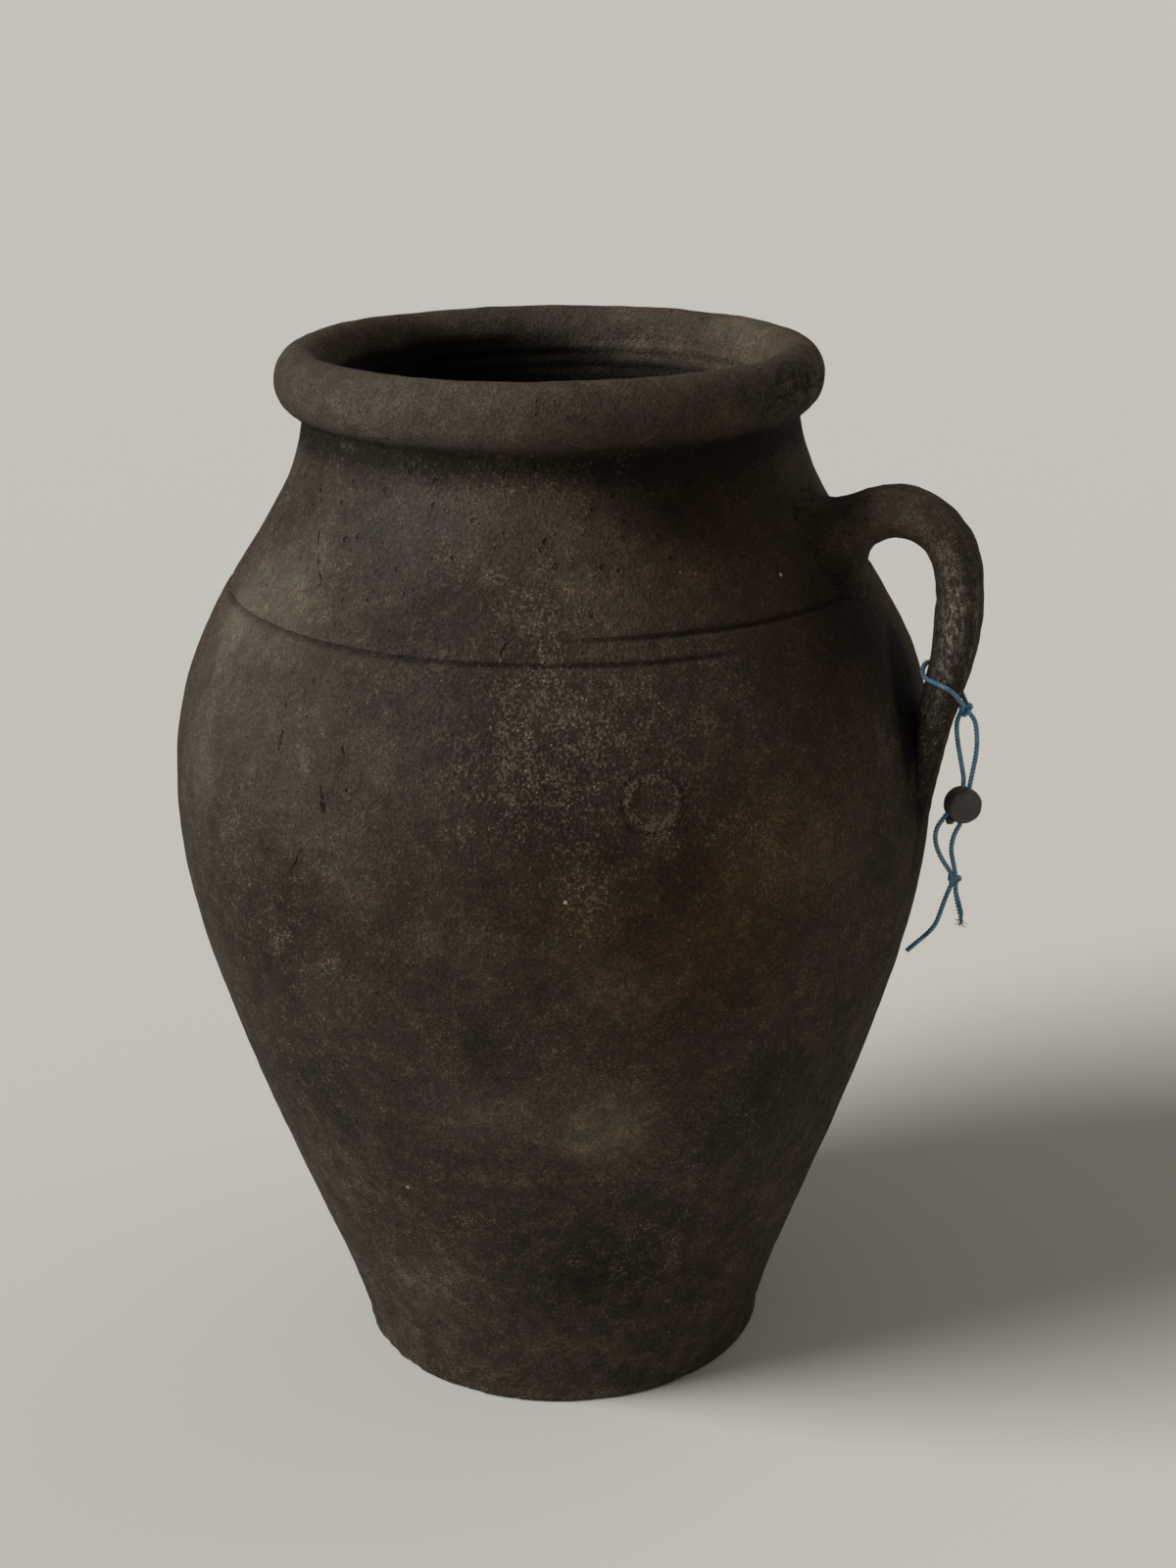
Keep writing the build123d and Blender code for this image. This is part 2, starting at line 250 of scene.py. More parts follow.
SHORT_ROUTE = [
    (-0.4, -0.1, -0.4), (2.0, 0.7, -2.4), (3.0, 1.1, -7.5), (3.1, 1.1, -13.5),
    (2.2, 0.8, -19.5), (1.5, 0.6, -24.5), (0.9, 0.3, -30.0), (-0.2, 0.0, -35.0),
    (-2.3, -0.7, -39.2), (-2.9, -0.9, -44.0), (-1.8, -0.4, -49.0), (-1.1, 0.0, -53.5),
    (-1.2, 0.2, -57.0), (-0.1, 0.3, -61.5), (0.8, 0.6, -65.0), (1.0, 0.7, -67.6),
]
LONG_LENGTH, SHORT_LENGTH = 0.0809, 0.0661
LONG_STAIN, STAIN_REACH = (-8.6, -3.1, -70.8), 1.1

# Plies of the cord: length of one turn, points round it, distance between rings, depth of a lobe
PLY_PITCH, PLY_SIDES, PLY_STEP, PLY_LOBE = 3.4, 20, 0.28, 0.13
EVEN_SIZE, EVEN_LOBES = ((0.0,), (1.0,)), ((0.0,), (PLY_LOBE,))

# Knots: centre, size, turn in radians, flatness, body and node
KNOTS = {
    "hitch": (Vector((-0.7, -0.2, 0.1)), 3.7, (1.2, 0.3, 0.4), 1.15, "hitch", "hitch_knot"),
    "tail_lump": (Vector((-1.6, 0.0, -53.6)), 3.3, (1.4, 0.2, 0.3), 0.9, "pendant", "tail_knot"),
}
KNOT_CORD_SHARE = 0.95

# Short tail, untwisted: distances from its tip, with its size or the depth of its lobes there
TAIL_SIZE = ((0.0, 1.6, 3.2, 6.0, 11.0), (0.55, 0.75, 1.40, 1.35, 1.0))
TAIL_LOBES = ((0.0, 3.0, 6.0, 11.0), (0.30, 0.42, 0.36, PLY_LOBE))
TAIL_TAN = 3.4

# Loose fibres at the tip of the short tail
FIBRES = 16
FIBRE_RADIUS, FIBRE_SIDES, FIBRE_STEP, FIBRE_TIP = 0.13, 6, 0.3, 0.4
FIBRE_LEAN, FIBRE_CURL, FIBRE_SPREAD, FIBRE_DROP = 0.32, 0.5, 0.35, 0.9
FIBRE_ROOT, FIBRE_REACH, FIBRE_TAN = (0.5, 2.6), (1.6, 3.0), (0.45, 1.0)

# Bead: a round of clay on edge, its face turned a little from the camera, turn in radians
BEAD_CENTRE = Vector((-0.1, 0.0, -29.6))
BEAD_TURN = radians(32.0)
BEAD_FACE = [0.5, 1.0, 1.4, 1.7, 2.0, 2.3, 2.7, 3.2, 3.7, 4.2, 4.5]
BEAD_EDGE = [
    (4.75, 2.70), (4.98, 2.48), (5.15, 2.15), (5.27, 1.65), (5.33, 0.85), (5.35, 0.0),
    (5.33, -0.85), (5.27, -1.65), (5.15, -2.15), (4.98, -2.48), (4.75, -2.70),
]
BEAD_HALF = 2.8
BEAD_SIDES = 84
PRESSED_RADIUS, PRESSED_WIDTH, PRESSED_DEPTH = 2.0, 0.3, 0.16
BEAD_HOLES = [(1.0, 5.4), (-0.2, -5.4), (-4.4, -3.2)]
HOLE_DEPTH, HOLE_WIDTH = 1.1, 1.25
CRUMB_PLACE, CRUMB_RADIUS = (-3.5, -4.7, -0.6), 1.35

# Clay's ramp from dark to pale, then the tints that multiply it and the colours that cover it
CLAY_STOPS = [
    (0.05, (0.0112, 0.0084, 0.0058)),
    (0.30, (0.0248, 0.0190, 0.0129)),
    (0.50, (0.0440, 0.0342, 0.0235)),
    (0.72, (0.0790, 0.0640, 0.0466)),
    (1.00, (0.1550, 0.1310, 0.0990)),
]
RUSTY_TINT = (1.30, 0.94, 0.68)
SLATE_TINT = (0.88, 0.98, 1.16)
FLAKE_TINT = (1.30, 1.28, 1.25)
SCAR_TINT = (0.30, 0.28, 0.25)
HOLLOW_SHADE_TINT = (0.42, 0.40, 0.36)
PIT_TINT = (0.35, 0.33, 0.30)
GROOVE_SHADE_TINT = (0.36, 0.33, 0.30)
CRACK_TINT = (0.22, 0.20, 0.18)
SAND_COLOUR = (0.165, 0.136, 0.094)
GRAIN_COLOUR = (0.290, 0.250, 0.185)
QUARTZ_COLOUR = (0.42, 0.40, 0.35)
SCRATCH_COLOUR = (0.130, 0.105, 0.075)
SOOT_AND_SHADE_COLOUR = (0.0028, 0.0024, 0.0020)
RUB_AND_GLINT_COLOUR = (0.450, 0.400, 0.325)

# Colours of the cord and the bead
CORD_STOPS = [
    (0.0, (0.022, 0.055, 0.088)),
    (0.35, (0.066, 0.180, 0.295)),
    (0.60, (0.140, 0.305, 0.445)),
    (1.0, (0.360, 0.500, 0.585)),
]
GRIME_COLOUR = (0.135, 0.135, 0.120)
TAN_COLOUR = (0.205, 0.150, 0.095)
STAIN_COLOUR = (0.012, 0.013, 0.014)
BEAD_STOPS = [
    (0.15, (0.035, 0.0300, 0.0270)),
    (0.50, (0.072, 0.0615, 0.0555)),
    (0.90, (0.150, 0.1290, 0.1160)),
]


def link(name, data):
    """New object of the scene."""
    made = bpy.data.objects.new(name, data)
    bpy.context.scene.collection.objects.link(made)
    return made


def add_camera():
    """Camera at the photograph's place and tilt."""
    ground = Vector((sin(CAMERA_AZIMUTH), -cos(CAMERA_AZIMUTH), 0.0)) * CAMERA_DISTANCE
    heading = CAMERA_AZIMUTH - CAMERA_YAW
    level = Vector((-sin(heading), cos(heading), 0.0))
    right = Vector((cos(heading), sin(heading), 0.0))
    forward = level * cos(CAMERA_PITCH) - Vector((0.0, 0.0, sin(CAMERA_PITCH)))
    up = right.cross(forward)
    right_rolled = right * cos(CAMERA_ROLL) + up * sin(CAMERA_ROLL)
    up_rolled = up * cos(CAMERA_ROLL) - right * sin(CAMERA_ROLL)
    data = bpy.data.cameras.new("camera")
    data.sensor_fit = "VERTICAL"
    data.sensor_height = SENSOR
    data.lens = CAMERA_LENS
    camera = link("camera", data)
    turn = Matrix((right_rolled, up_rolled, -forward)).transposed().to_4x4()
    camera.matrix_world = Matrix.Translation(ground + Vector((0.0, 0.0, CAMERA_HEIGHT))) @ turn
    bpy.context.scene.camera = camera


def add_floor():
    """Plain pale floor that takes the shadow."""
    half = FLOOR_HALF_METRES
    mesh = bpy.data.meshes.new("floor")
    corners = [(-half, -half, 0), (half, -half, 0), (half, half, 0), (-half, half, 0)]
    mesh.from_pydata(corners, [], [(0, 1, 2, 3)])
    link("floor", mesh)
    paper = Shader(bpy.data.materials.new("floor"))
    mesh.materials.append(paper.paint({"Base Color": FLOOR_COLOUR, "Roughness": FLOOR_ROUGHNESS}))


def add_sun(name, energy, spread, colour, place):
    """Broad soft lamp at a place that is given as shares to the right, the camera and the top."""
    sun = bpy.data.lights.new(name, "SUN")
    sun.energy = energy
    sun.angle = radians(spread)
    sun.color = colour
    towards = TO_RIGHT * place[0] + TO_CAMERA * place[1] + Vector((0, 0, place[2]))
    link(name, sun).rotation_euler = towards.to_track_quat("Z", "Y").to_euler()


def add_world():
    """Dim even fill, with a pale background for camera, transmission and glossy rays."""
    world = bpy.data.worlds.new("world")
    s = Shader(world)
    fill = s.tree.nodes["Background"].outputs[0]
    s.feed(fill.node.inputs[0], FILL_COLOUR)
    pale = s.add("Background", {0: BACKGROUND_COLOUR})
    rays = s.add("LightPath").node.outputs
    shown = rays["Is Camera Ray"]
    for kind in ("Is Transmission Ray", "Is Glossy Ray"):
        shown = s.math("MAXIMUM", shown, rays[kind])
    choice = s.add("MixShader", {0: shown, 1: fill, 2: pale})
    s.feed(s.tree.nodes["World Output"].inputs[0], choice)
    bpy.context.scene.world = world


def add_piece(name, points, faces, material, body, nodes, marks):
    """Smooth piece that rides a body, stands for nodes and has marks that its material reads."""
    mesh = bpy.data.meshes.new(name)
    mesh.from_pydata((points * MM).tolist(), [], faces)
    mesh.polygons.foreach_set("use_smooth", np.ones(len(mesh.polygons), dtype=bool))
    mesh.update()
    mesh.materials.append(material)
    for key, values in marks.items():
        attribute = mesh.attributes.new(key, "FLOAT", "POINT")
        attribute.data.foreach_set("value", np.float32(values))
    piece = link(name, mesh)
    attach(piece, body)
    if nodes:
        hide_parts(*nodes)
    return piece


def ring_faces(rings, sides, flip=False):
    """Faces of a tube of rings, with a fan at each end round the two points that follow them."""
    faces = []
    for ring in range(rings - 1):
        low, high = ring * sides, (ring + 1) * sides
        for c in range(sides):
            d = (c + 1) % sides
            faces.append((low + c, low + d, high + d, high + c))
    end, first, last = (rings - 1) * sides, rings * sides, rings * sides + 1
    for c in range(sides):
        d = (c + 1) % sides
        faces.append((first, d, c))
        faces.append((last, end + c, end + d))
    return [face[:1] + face[:0:-1] for face in faces] if flip else faces


def bell(offset, width):
    """1 where an offset is 0, falling off smoothly over a width."""
    return np.exp(-(offset / width) ** 2)


def rise(value, start, reach):
    """0 before a start, climbing to 1 over a reach, which is negative for a climb downwards."""
    return np.clip((value - start) / reach, 0.0, 1.0)


def layered(points, name):
    """Sum of the layers of smooth noise that have a name, at each point."""
    total = np.zeros(len(points))
    for strength, size, seed in LAYERS[name]:
        shift = Vector((seed * 7.31, seed * 3.17, seed * 5.53))
        total += [strength * noise.noise(Vector(point) / size + shift) for point in points]
    return total


def turned(points):
    """Angle of each point round the jar."""
    return np.degrees(np.arctan2(points[:, 1], points[:, 0]))


def unit_rows(rows):
    return rows / np.linalg.norm(rows, axis=1)[:, None]


def lengths_along(line):
    """Length of a line of points up to each of them."""
    return np.concatenate([[0], np.cumsum(np.linalg.norm(np.diff(line, axis=0), axis=1))])


def node_numbers(name, kind):
    """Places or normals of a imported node's points, one row each."""
    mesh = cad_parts[name].data
    flat = np.empty(3 * len(mesh.vertices))
    mesh.vertices.foreach_get(kind, flat)
    return flat.reshape(-1, 3)


def wall_line(names, side, low, high, step=3.0, facing_least=0.3):
    """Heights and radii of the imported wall's outer skin, for side 1, or inner skin, for side -1."""
    points = np.vstack([node_numbers(name, "co") for name in names]) / MM
    normals = np.vstack([node_numbers(name, "normal") for name in names])
    radius = np.hypot(points[:, 0], points[:, 1])
    facing = side * (points[:, :2] * normals[:, :2]).sum(axis=1) / np.maximum(radius, 0.1)
    height = points[:, 2]
    found = []
    for floor in np.arange(low, high, step):
        within = (height >= floor) & (height < floor + step)
        band = np.flatnonzero(within & (facing > facing_least))
        if len(band):
            best = band[np.argmax(side * radius[band])]
            found.append((height[best], radius[best]))
    return np.array(sorted(set(found))).T


OUTER = wall_line(("base_disc", "lower_body", "upper_body"), 1, FOOT_EDGE, WALL_TOP)
INNER = wall_line(("lower_body", "upper_body"), -1, INNER_LOW, WALL_TOP)


def outer_radius(height):
    return np.interp(height, *OUTER)


def inner_radius(height):
    return np.interp(height, *INNER)


def wall_slope(height, step=2.0):
    return (outer_radius(height + step) - outer_radius(height - step)) / (2 * step)


def wall_point(degree, height):
    """Point on the outside of the wall."""
    radius = float(outer_radius(height))
    return Vector((radius * cos(radians(degree)), radius * sin(radians(degree)), height))


def profile():
    """Rows of the wall from under the foot, up the outside, over the rim and down the inside."""
    foot = outer_radius(FOOT_EDGE)
    rows = [(radius, 0.0) for radius in UNDERSIDE_RADII]
    rows += [(foot - inset, height) for inset, height in FOOT_ROUND]
    rows += zip(outer_radius(OUTSIDE_HEIGHTS), OUTSIDE_HEIGHTS)
    _, rim_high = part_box("rolled_rim")
    centre = rim_high.x / MM - RIM_HALF_WIDTH
    middle = rim_high.z / MM - RIM_HALF_DEPTH
    rows.append((centre + RIM_SEAM_INSET, RIM_SEAM_HEIGHT))
    for angle in np.linspace(*RIM_ARC):
        swing = radians(angle)
        rows.append((centre + RIM_HALF_WIDTH * cos(swing), middle + RIM_HALF_DEPTH * sin(swing)))
    rows += [(inner_radius(BORE_TOP), height) for height in BORE_HEIGHTS]
    rows += zip(inner_radius(INSIDE_HEIGHTS), INSIDE_HEIGHTS)
    corner = rows[-1][0]
    rows += [(corner - inset, height) for inset, height in BOTTOM_ROUND]
    rows += [(radius, BOTTOM_HEIGHT) for radius in BOTTOM_RADII]
    return np.array(rows)


def groove(angle, height):
    """Share of the incised spiral's depth at angles and heights."""
    turn = np.mod(GROOVE_START_ANGLE - angle, 360.0)
    depth = np.zeros_like(height)
    for lap in (0.0, 360.0):
        along = turn + lap
        line = GROOVE_START + GROOVE_RISE * along / GROOVE_SWEEP
        share = np.clip(along / GROOVE_FADE, 0, 1)
        share = share * np.clip((GROOVE_SWEEP - along) / GROOVE_FADE, 0, 1)
        cut = np.exp(-((height - line) / GROOVE_HALF_WIDTH) ** 2 * GROOVE_SHARPNESS)
        depth = np.maximum(depth, share * cut)
    return depth


def patches(points, marks):
    """Sum of soft patches at each point."""
    angle = np.arctan2(points[:, 1], points[:, 0])
    radius = np.hypot(points[:, 0], points[:, 1])
    total = np.zeros(len(points))
    for degree, height, size, strength in marks:
        turn = np.mod(angle - radians(degree) + pi, 2 * pi) - pi
        off = ((turn * radius) ** 2 + (points[:, 2] - height) ** 2) / size ** 2
        total += strength * np.exp(-off)
    return total


def weathering(points, placed=True):
    # The placed patches include painted light and shade
    """Tone, warmth, grit and pitting of the clay at each point, with or without placed patches."""
    front = np.clip(np.cos(np.radians(turned(points) - PHOTO_SIDE)) * 1.6, 0.0, 1.0)
    loose = 1.0 - 0.6 * front if placed else np.ones(len(points))
    tone = loose * layered(points, "tone")
    warm = loose * layered(points, "warm")
    grit = loose * layered(points, "grit") + layered(points, "fine_grit")
    if placed:
        tone += patches(points, TONE_PATCHES)
        warm += patches(points, WARM_PATCHES)
        grit += patches(points, GRIT_PATCHES)
    pitting = rise(points[:, 2], 235.0, 40.0) + layered(points, "pitting")
    return {"tone": tone, "warm": warm, "grit": grit, "pitting": pitting}


def foot_wear(points):
    """Depth of the chips out of the foot's edge, and of a shallow line above it."""
    edge = np.exp(-np.clip(points[:, 2], 0.0, None) / CHIP_HEIGHT)
    chips = np.clip(layered(points, "chips") - CHIP_LIMIT, 0.0, 1.0)
    line = FOOT_LINE + layered(points, "foot_line")
    return CHIP_DEPTH * edge * chips + FOOT_LINE_DEPTH * bell(points[:, 2] - line, FOOT_LINE_WIDTH)


def scar_relief(points):
    """Height of the low broken ring where something was lifted off the wet clay."""
    away = np.linalg.norm(points - np.array(wall_point(*SCAR)), axis=1)
    broken = SCAR_WHOLE + layered(points, "scar")
    return SCAR_HEIGHT * broken * bell(away - SCAR_RADIUS, SCAR_WIDTH)


def tearing(points):
    """Share of torn clay at each point, most at one end of the rim."""
    high = bell(points[:, 2] - TEAR_HEIGHT, TEAR_REACH)
    return high * bell(turned(points) - TEAR_ANGLE, TEAR_TURN)


def mouth_soot_and_shade(points):
    """Soot and painted shade on the inside, which end at a slanting brink under the rim."""
    toward_dark_side = np.cos(np.radians(turned(points) - DARKEST_SIDE))
    brink = DARK_BRINK + DARK_BRINK_TILT * toward_dark_side + layered(points, "brink")
    deep = rise(brink - points[:, 2], 0.0, DARK_FADE - DARK_FADE_TILT * toward_dark_side)
    neck = rise(points[:, 2], NECK_LOW, NECK_REACH)
    return deep * (BELLY_SOOT_AND_SHADE * (1.0 - neck) + neck * (NECK_SOOT_AND_SHADE + NECK_SHADE_TILT * toward_dark_side))


def wall_shape():
    """Points and faces of the wall, and which of its points are outside and which inside."""
    rows = profile()
    count = len(rows)
    before = np.roll(rows, 1, axis=0)
    after = np.roll(rows, -1, axis=0)
    before[0] = (0.0, 0.0)
    after[-1] = (0.0, rows[-1][1])
    run = unit_rows(after - before)
    normal = np.stack([run[:, 1], -run[:, 0]], axis=1)
    angles = np.arange(COLUMNS) * 2 * pi / COLUMNS

    def spun(values):
        x, y = (np.outer(values[:, 0], wave(angles)).ravel() for wave in (np.cos, np.sin))
        return np.column_stack([x, y, np.repeat(values[:, 1], COLUMNS)])

    points, normals = spun(rows), spun(normal)
    height = points[:, 2]
    degree = np.degrees(np.tile(angles, count))
    inside = np.repeat(np.arange(count), COLUMNS) > np.argmax(rows[:, 1])
    outside = ~inside & (height > 0.1)
    push = layered(points, "hand")
    push[outside] += scar_relief(points[outside])
    push[outside] -= GROOVE_DEPTH * groove(degree[outside], height[outside])
    ragged = layered(points * TEAR_STRETCH, "ragged")
    push -= TEAR_DEPTH * tearing(points) * outside * np.clip(ragged, 0.0, 1.0)
    ringed = inside & (height > RINGS_LOW) & (height < RINGS_HIGH)
    push += ringed * RING_HEIGHT * np.sin(height * 2 * pi / RING_PITCH + np.radians(degree))
    push *= np.where(inside, 1.0, np.clip(height / FOOT_STIFFENS, FOOT_LEAST, 1.0))
    worn = outside & (height < FOOT_WEAR_TOP)
    push[worn] -= foot_wear(points[worn])
    points = points + normals * push[:, None]
    points[:, 2] = np.maximum(points[:, 2], 0.0)
    points = np.vstack([points, [(0, 0, 0), (0, 0, rows[-1][1])]])
    outside = np.append(outside, [False, False])
    return points, ring_faces(count, COLUMNS), outside, np.append(inside, [False, True])


def build_wall(material):
    """Foot, walls, rim and inside as one skin of fired clay."""
    points, faces, outside, inside = wall_shape()
    height = points[:, 2]
    marks = weathering(points)
    # Soot with painted shade inside the mouth, and painted shade in the crease beside the handle's
    # lower end
    crease_shade = rise(patches(points, CREASE_SHADE_PATCHES), 0.3, 0.6)
    marks["soot_and_shade"] = np.where(inside, mouth_soot_and_shade(points), crease_shade)
    marks["rub_and_glint"] = np.zeros(len(points))
    # The rim is made paler, and a painted shadow of the rim darkens the neck just under it
    on_rim = rise(height, WALL_TOP, 4.0)
    painted_rim_shadow = outside * bell(height - 297.0, 4.5)
    marks["tone"] += 0.45 * on_rim - 1.5 * painted_rim_shadow
    marks["grit"] -= 0.6 * on_rim
    marks["pitting"] -= 0.65 * on_rim
    low = rise(height, 130.0, -50.0)
    flaked = low * (0.75 + layered(points, "flake")) - 0.25 * (1.0 - low)
    marks["flake"] = outside * flaked
    marks["tear"] = outside * tearing(points)
    marks["line"] = outside * 1.0
    rubbed_foot = np.clip(0.3 + layered(points, "foot_rub"), 0.0, 1.0)
    marks["tone"] += 1.1 * np.exp(-height / 2.2) * rubbed_foot
    nodes = ("base_disc", "lower_body", "upper_body", "rolled_rim")
    add_piece("jar_wall", points, faces, material, "jar", nodes, marks)


def smooth_line(points, count_fine=3000):
    """Fine points on the cubic spline through points in a plane, and the length up to each."""
    knots = np.array(points)
    at = lengths_along(knots)
    gaps = np.diff(at)
    count = len(knots)
    system = np.eye(count)
    sides = np.zeros_like(knots)
    for k in range(1, count - 1):
        system[k, k - 1:k + 2] = gaps[k - 1], 2 * (gaps[k - 1] + gaps[k]), gaps[k]
        bent = (knots[k + 1] - knots[k]) / gaps[k] - (knots[k] - knots[k - 1]) / gaps[k - 1]
        sides[k] = 6 * bent
    bend = np.linalg.solve(system, sides)
    fine = np.linspace(0, at[-1], count_fine)
    k = np.clip(np.searchsorted(at, fine) - 1, 0, count - 2)
    width = gaps[k][:, None]
    left = (at[k + 1] - fine)[:, None] / width
    right = 1 - left
    line = left * knots[k] + right * knots[k + 1]
    line += ((left ** 3 - left) * bend[k] + (right ** 3 - right) * bend[k + 1]) * width ** 2 / 6
    return line, lengths_along(line)


def wall_gap(points):
    """Distance of points off the wall's own uneven skin, and the wall's outward normals."""
    radius = np.hypot(points[:, 0], points[:, 1])
    slope = wall_slope(points[:, 2])
    lean = 1.0 / np.sqrt(1.0 + slope ** 2)
    out = points[:, :2] / radius[:, None]
    normal = np.column_stack([out * lean[:, None], -slope * lean])
    on_wall = np.column_stack([out * outer_radius(points[:, 2])[:, None], points[:, 2]])
    gap = (radius - outer_radius(points[:, 2])) * lean - layered(on_wall, "hand")
    return gap, normal


def handle_rings():
    """Rings of the handle before it meets the wall, and how many flares each is from its root."""
    line, steps = smooth_line(HANDLE_LINE)
    gap, _ = wall_gap(np.column_stack([line[:, 0], np.zeros(len(line)), line[:, 1]]))
    root, total = steps[np.argmax(gap > 0)], steps[-1]
    places = np.concatenate([
        [root - HANDLE_SUNK, root - HANDLE_STEP],
        root + FLARE_UP * (1 - np.cos(np.linspace(0, pi / 2, FLARE_RINGS))),
        np.arange(root + FLARE_UP + HANDLE_STEP, total, HANDLE_STEP),
    ])
    shares, thick, wide = np.array(HANDLE_SECTIONS).T
    ridge = np.ones(HANDLE_SIDES)
    for degree, height, width in HANDLE_RIBS:
        ridge += height * bell(HANDLE_SWING - radians(degree), width)
    cosine, sine = np.cos(HANDLE_SWING), np.sin(HANDLE_SWING)
    sides = np.where(cosine > 0, FLARE_OUTER, FLARE_INNER)

    def at(shift):
        return np.column_stack([np.interp(places + shift, steps, line[:, k]) for k in range(2)])

    middle, along = at(0.0), unit_rows(at(1.0) - at(-1.0))
    left = 1 - rise(places, root, FLARE_UP)
    flare = FLARE_UP * (1 - np.sqrt(1 - left ** 2))[:, None]
    half_thick = np.interp(places / total, shares, thick)[:, None] + sides * flare
    half_wide = np.interp(places / total, shares, wide)[:, None] + FLARE_ACROSS * flare
    a = half_thick * ridge * np.sign(cosine) * np.abs(cosine) ** HANDLE_POWER
    b = half_wide * ridge * np.sign(sine) * np.abs(sine) ** HANDLE_POWER
    x, z = middle[:, :1] - a * along[:, 1:], middle[:, 1:] + a * along[:, :1]
    return np.stack([x, b, z], axis=2), (places - root) / FLARE_UP


def handle_shape():
    """Points and faces of the handle, fitted to the wall at both of its ends."""
    rings, near = handle_rings()
    points = rings.reshape(-1, 3)
    middles = np.repeat(rings.mean(axis=1), HANDLE_SIDES, axis=0)
    relief = layered(points, "handle")
    points = points + unit_rows(points - middles) * relief[:, None]
    gap, normal = wall_gap(points)
    middle_gap, _ = wall_gap(middles)
    bend = np.repeat(np.clip(1 - near, 0.0, 1.0), HANDLE_SIDES)
    flared = gap - bend * (gap - middle_gap)
    settled = 0.5 * (gap + np.sqrt(gap ** 2 + 4 * SMEAR_SOFT ** 2)) - SMEAR_SUNK
    smeared = gap + rise(points[:, 2], SMEAR_TOP, -SMEAR_REACH) * (settled - gap)
    wanted = np.where(points[:, 2] < LOWER_HALF, smeared, flared)
    points = points + normal * (wanted - gap)[:, None]
    ends = points[:HANDLE_SIDES].mean(axis=0), points[-HANDLE_SIDES:].mean(axis=0)
    return np.vstack([points, *ends]), ring_faces(len(rings), HANDLE_SIDES)


def handle_marks(points):
    """Numbers that the clay's material reads on the handle."""
    height = points[:, 2]
    marks = weathering(points, placed=False)
    low = rise(height, 228.0, -30.0)
    crown = bell(points[:, 0] - 104.0, 12.0) * (height > 262.0)
    marks["tone"] = 0.6 * marks["tone"] - 0.60 * low + 0.42 * crown + 0.12
    marks["warm"] += 0.5 * crown + 0.3 * low
    marks["pitting"] = np.full(len(points), 0.4)
    gap = np.clip(wall_gap(points)[0], 0.0, None)
    beside = bell(gap, 6.0) * (height > LOWER_HALF)
    for name, values in weathering(points).items():
        marks[name] += beside * (values - marks[name])
    seam = bell(gap, 2.2)
    # Painted shade on the handle's near flank, in the crease where it meets the wall
    marks["soot_and_shade"] = 0.5 * seam * (points[:, 1] < 0) * (height < 232.0) * (height > 186.0)
    marks["tear"] = 0.7 * seam * (height > 240.0)
    marks["flake"] = marks["line"] = np.zeros(len(points))
    rings = len(points) // HANDLE_SIDES
    face = np.degrees(np.append(np.tile(HANDLE_SWING, rings), [0.0, 0.0]))
    rib = bell(face - HANDLE_RIB, 5.0)
    # Painted highlight along the rib
    marks["tone"] += 0.5 * rib * (height > 222.0)
    outer_part = points[:, 0] > RUB_AND_SHEEN_MIN_X
    # Painted sheen: paler on the face turned to the lamp and the camera, darker round the rest of the
    # section
    painted_sheen = bell(face - 266.0, 24.0) - 0.40
    marks["tone"] += 0.60 * painted_sheen * bell(height - RUB_AND_SHEEN_HEIGHT, PAINTED_SHEEN_REACH) * outer_part
    # Rubbed clay with painted glints: most on the face turned between the lamp and the camera, some
    # on the rib and the inner face
    worn = bell(face - 268.0, 19.0) + 0.35 * rib + 0.5 * bell(face - 75.0, 40.0) + 0.12
    marks["rub_and_glint"] = worn * bell(height - RUB_AND_SHEEN_HEIGHT, RUB_AND_GLINT_REACH) * outer_part
    return marks


def build_handle(material):
    """Strap handle that flares on to the shoulder and is smeared down the belly."""
    points, faces = handle_shape()
    nodes = ("handle", "upper_luting", "lower_luting")
    marks = handle_marks(points)
    add_piece("strap_handle", points, faces, material, "jar", nodes, marks)


def route_line(name, route):
    """Points on the smooth spline that has the route's points as its control points."""
    data = bpy.data.curves.new(name, "CURVE")
    data.dimensions = "3D"
    data.resolution_u = 24
    spline = data.splines.new("NURBS")
    spline.points.add(len(route) - 1)
    for point, offset in zip(spline.points, route):
        point.co = (*(KNOT + Vector(offset)) * MM, 1.0)
    spline.order_u = 3
    spline.use_endpoint_u = True
    curve = link(name, data)
    bpy.context.view_layer.update()
    mesh = bpy.data.meshes.new_from_object(curve)
    line = np.array([vertex.co for vertex in mesh.vertices]) / MM
    bpy.data.objects.remove(curve)
    bpy.data.meshes.remove(mesh)
    return line


